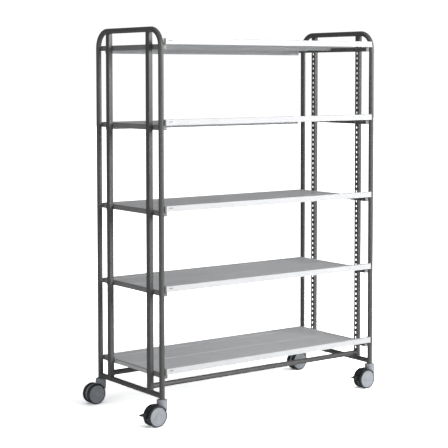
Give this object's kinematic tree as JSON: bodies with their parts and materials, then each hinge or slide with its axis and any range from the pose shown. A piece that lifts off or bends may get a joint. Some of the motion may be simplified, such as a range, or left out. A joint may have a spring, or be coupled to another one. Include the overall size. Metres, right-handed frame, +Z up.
{
  "type": "book cart",
  "caption": "Mobile book cart: two rounded tube end frames with slotted uprights carry lipped steel shelves; twin-wheel swivel castors, the front pair with foot brakes.",
  "frame": {"origin": "floor level, under the middle of the overall box at rest (the castors trail to the left, so the end frames sit 47.5 mm to the right of it)", "axes": "+X along the shelves to the right, +Y from the lipped front to the back, +Z up"},
  "size_m": [1.415, 0.587, 1.8],
  "materials": {
    "frame_paint": "fine-textured semi-gloss anthracite powder coat",
    "shelf_paint": "satin light grey powder coat",
    "cap_plastic": "moulded light grey plastic",
    "castor_plastic": "satin moulded grey nylon",
    "tyre_rubber": "soft dark grey tread, matt",
    "black_plastic": "moulded black nylon",
    "zinc_steel": "bright zinc plate"
  },
  "bodies": {
    "frame": {"left_hoop": "frame_paint", "right_hoop": "frame_paint", "left_cross_rail": "frame_paint", "right_cross_rail": "frame_paint", "left_front_upright": "frame_paint", "left_rear_upright": "frame_paint", "right_front_upright": "frame_paint", "right_rear_upright": "frame_paint", "front_long_rail": "frame_paint", "rear_long_rail": "frame_paint", "rail_bolts": "zinc_steel", "shelf_1": "shelf_paint", "shelf_2": "shelf_paint", "shelf_3": "shelf_paint", "shelf_4": "shelf_paint", "shelf_5": "shelf_paint", "lip_end_caps": "cap_plastic", "bracket_1_left": "frame_paint", "bracket_1_right": "frame_paint", "bracket_2_left": "frame_paint", "bracket_2_right": "frame_paint", "bracket_3_left": "frame_paint", "bracket_3_right": "frame_paint", "bracket_4_left": "frame_paint", "bracket_4_right": "frame_paint", "bracket_5_left": "frame_paint", "bracket_5_right": "frame_paint", "bracket_screws": "zinc_steel", "bracket_nuts": "zinc_steel", "shelf_screws": "zinc_steel", "leg_inserts": "black_plastic", "castor_stems": "zinc_steel"},
    "front_left_castor": {"front_left_housing": "castor_plastic", "front_left_axle": "zinc_steel", "front_left_brake_pin": "zinc_steel"},
    "front_left_wheel_a_body": {"front_left_wheel_a": "castor_plastic", "front_left_tyre_a": "tyre_rubber"},
    "front_left_wheel_b_body": {"front_left_wheel_b": "castor_plastic", "front_left_tyre_b": "tyre_rubber"},
    "front_left_brake": {"front_left_brake_lever": "black_plastic"},
    "front_right_castor": {"front_right_housing": "castor_plastic", "front_right_axle": "zinc_steel", "front_right_brake_pin": "zinc_steel"},
    "front_right_wheel_a_body": {"front_right_wheel_a": "castor_plastic", "front_right_tyre_a": "tyre_rubber"},
    "front_right_wheel_b_body": {"front_right_wheel_b": "castor_plastic", "front_right_tyre_b": "tyre_rubber"},
    "front_right_brake": {"front_right_brake_lever": "black_plastic"},
    "rear_left_castor": {"rear_left_housing": "castor_plastic", "rear_left_axle": "zinc_steel"},
    "rear_left_wheel_a_body": {"rear_left_wheel_a": "castor_plastic", "rear_left_tyre_a": "tyre_rubber"},
    "rear_left_wheel_b_body": {"rear_left_wheel_b": "castor_plastic", "rear_left_tyre_b": "tyre_rubber"},
    "rear_right_castor": {"rear_right_housing": "castor_plastic", "rear_right_axle": "zinc_steel"},
    "rear_right_wheel_a_body": {"rear_right_wheel_a": "castor_plastic", "rear_right_tyre_a": "tyre_rubber"},
    "rear_right_wheel_b_body": {"rear_right_wheel_b": "castor_plastic", "rear_right_tyre_b": "tyre_rubber"}
  },
  "joints": [
    {"name": "front_left_swivel", "type": "hinge", "parent": "frame", "child": "front_left_castor", "pos_m": [-0.5875, -0.265, 0.1], "axis": [0, 0, 1], "continuous": true},
    {"name": "front_left_wheel_a_spin", "type": "hinge", "parent": "front_left_castor", "child": "front_left_wheel_a_body", "pos_m": [-0.6255, -0.284, 0.049], "axis": [0, 1, 0], "continuous": true},
    {"name": "front_left_wheel_b_spin", "type": "hinge", "parent": "front_left_castor", "child": "front_left_wheel_b_body", "pos_m": [-0.6255, -0.246, 0.049], "axis": [0, 1, 0], "continuous": true},
    {"name": "front_left_brake_press", "type": "hinge", "parent": "front_left_castor", "child": "front_left_brake", "pos_m": [-0.6465, -0.265, 0.076], "axis": [0, -1, 0], "range_deg": [0, 14]},
    {"name": "front_right_swivel", "type": "hinge", "parent": "frame", "child": "front_right_castor", "pos_m": [0.6825, -0.265, 0.1], "axis": [0, 0, 1], "continuous": true},
    {"name": "front_right_wheel_a_spin", "type": "hinge", "parent": "front_right_castor", "child": "front_right_wheel_a_body", "pos_m": [0.6445, -0.284, 0.049], "axis": [0, 1, 0], "continuous": true},
    {"name": "front_right_wheel_b_spin", "type": "hinge", "parent": "front_right_castor", "child": "front_right_wheel_b_body", "pos_m": [0.6445, -0.246, 0.049], "axis": [0, 1, 0], "continuous": true},
    {"name": "front_right_brake_press", "type": "hinge", "parent": "front_right_castor", "child": "front_right_brake", "pos_m": [0.6235, -0.265, 0.076], "axis": [0, -1, 0], "range_deg": [0, 14]},
    {"name": "rear_left_swivel", "type": "hinge", "parent": "frame", "child": "rear_left_castor", "pos_m": [-0.5875, 0.265, 0.1], "axis": [0, 0, 1], "continuous": true},
    {"name": "rear_left_wheel_a_spin", "type": "hinge", "parent": "rear_left_castor", "child": "rear_left_wheel_a_body", "pos_m": [-0.6255, 0.246, 0.049], "axis": [0, 1, 0], "continuous": true},
    {"name": "rear_left_wheel_b_spin", "type": "hinge", "parent": "rear_left_castor", "child": "rear_left_wheel_b_body", "pos_m": [-0.6255, 0.284, 0.049], "axis": [0, 1, 0], "continuous": true},
    {"name": "rear_right_swivel", "type": "hinge", "parent": "frame", "child": "rear_right_castor", "pos_m": [0.6825, 0.265, 0.1], "axis": [0, 0, 1], "continuous": true},
    {"name": "rear_right_wheel_a_spin", "type": "hinge", "parent": "rear_right_castor", "child": "rear_right_wheel_a_body", "pos_m": [0.6445, 0.246, 0.049], "axis": [0, 1, 0], "continuous": true},
    {"name": "rear_right_wheel_b_spin", "type": "hinge", "parent": "rear_right_castor", "child": "rear_right_wheel_b_body", "pos_m": [0.6445, 0.284, 0.049], "axis": [0, 1, 0], "continuous": true}
  ]
}
